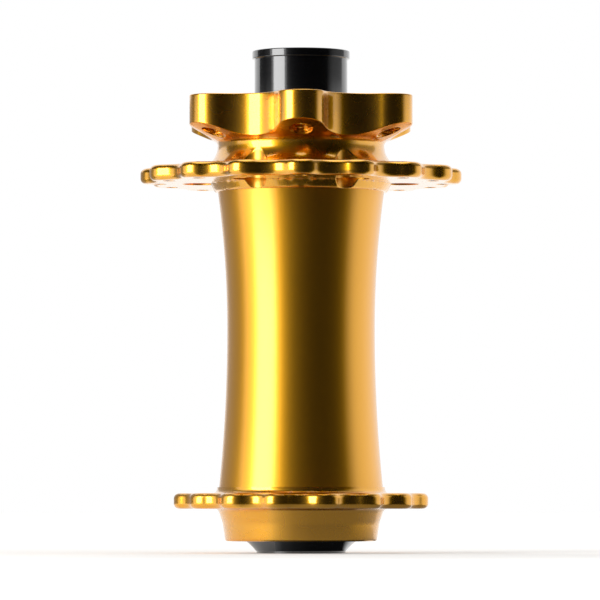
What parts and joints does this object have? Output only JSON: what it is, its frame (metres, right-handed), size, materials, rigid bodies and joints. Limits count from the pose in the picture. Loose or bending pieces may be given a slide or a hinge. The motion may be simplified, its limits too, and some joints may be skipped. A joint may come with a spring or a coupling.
{
  "type": "bicycle front hub",
  "caption": "Bicycle front hub for a disc brake and a thru-axle: lobed disc mount, scalloped spoke flanges, waisted barrel, sealed bearings and pull-off end caps.",
  "frame": {"origin": "hub centre, on the line of the axle and halfway between the two end faces", "axes": "+Z along the axle towards the disc-brake side; -Y towards the camera of the picture; +X to its right"},
  "size_m": [0.0704, 0.0704, 0.11],
  "materials": {
    "gold_anodised_aluminium": "anodised, satin on the barrel and polished elsewhere",
    "clear_anodised_aluminium": "anodised",
    "black_anodised_aluminium": "polished and anodised",
    "nitrile_rubber": "matte",
    "bearing_steel": "ground",
    "cage_nylon": "moulded",
    "bearing_seal_rubber": "moulded"
  },
  "bodies": {
    "axle_set": {"axle": "clear_anodised_aluminium", "disc_side_bearing_inner_race": "bearing_steel", "plain_side_bearing_inner_race": "bearing_steel"},
    "shell_set": {"hub_shell": "gold_anodised_aluminium", "disc_side_bearing_outer_race": "bearing_steel", "plain_side_bearing_outer_race": "bearing_steel", "disc_side_bearing_outer_seal": "bearing_seal_rubber", "disc_side_bearing_inner_seal": "bearing_seal_rubber", "plain_side_bearing_outer_seal": "bearing_seal_rubber", "plain_side_bearing_inner_seal": "bearing_seal_rubber", "disc_side_dust_seal": "nitrile_rubber", "plain_side_dust_seal": "nitrile_rubber"},
    "disc_side_ball_set": {"disc_side_bearing_balls": "bearing_steel", "disc_side_bearing_cage": "cage_nylon"},
    "plain_side_ball_set": {"plain_side_bearing_balls": "bearing_steel", "plain_side_bearing_cage": "cage_nylon"},
    "disc_side_cap_set": {"disc_side_end_cap": "black_anodised_aluminium", "disc_side_cap_o_ring": "nitrile_rubber"},
    "plain_side_cap_set": {"plain_side_end_cap": "black_anodised_aluminium", "plain_side_cap_o_ring": "nitrile_rubber"}
  },
  "joints": [
    {"name": "shell_spin", "type": "hinge", "parent": "axle_set", "child": "shell_set", "pos_m": [0, 0, 0], "axis": [0, 0, 1], "continuous": true},
    {"name": "disc_side_ball_orbit", "type": "hinge", "parent": "axle_set", "child": "disc_side_ball_set", "pos_m": [0, 0, 0.0363], "axis": [0, 0, 1], "continuous": true},
    {"name": "plain_side_ball_orbit", "type": "hinge", "parent": "axle_set", "child": "plain_side_ball_set", "pos_m": [0, 0, -0.0441], "axis": [0, 0, 1], "continuous": true},
    {"name": "disc_side_cap_pull", "type": "slide", "parent": "axle_set", "child": "disc_side_cap_set", "axis": [0, 0, 1], "range_m": [0, 0.013]},
    {"name": "plain_side_cap_pull", "type": "slide", "parent": "axle_set", "child": "plain_side_cap_set", "axis": [0, 0, -1], "range_m": [0, 0.006]}
  ],
  "couplings": [
    {"joint": "disc_side_ball_orbit", "follows": "shell_spin", "ratio": 0.58445},
    {"joint": "plain_side_ball_orbit", "follows": "shell_spin", "ratio": 0.58445}
  ]
}
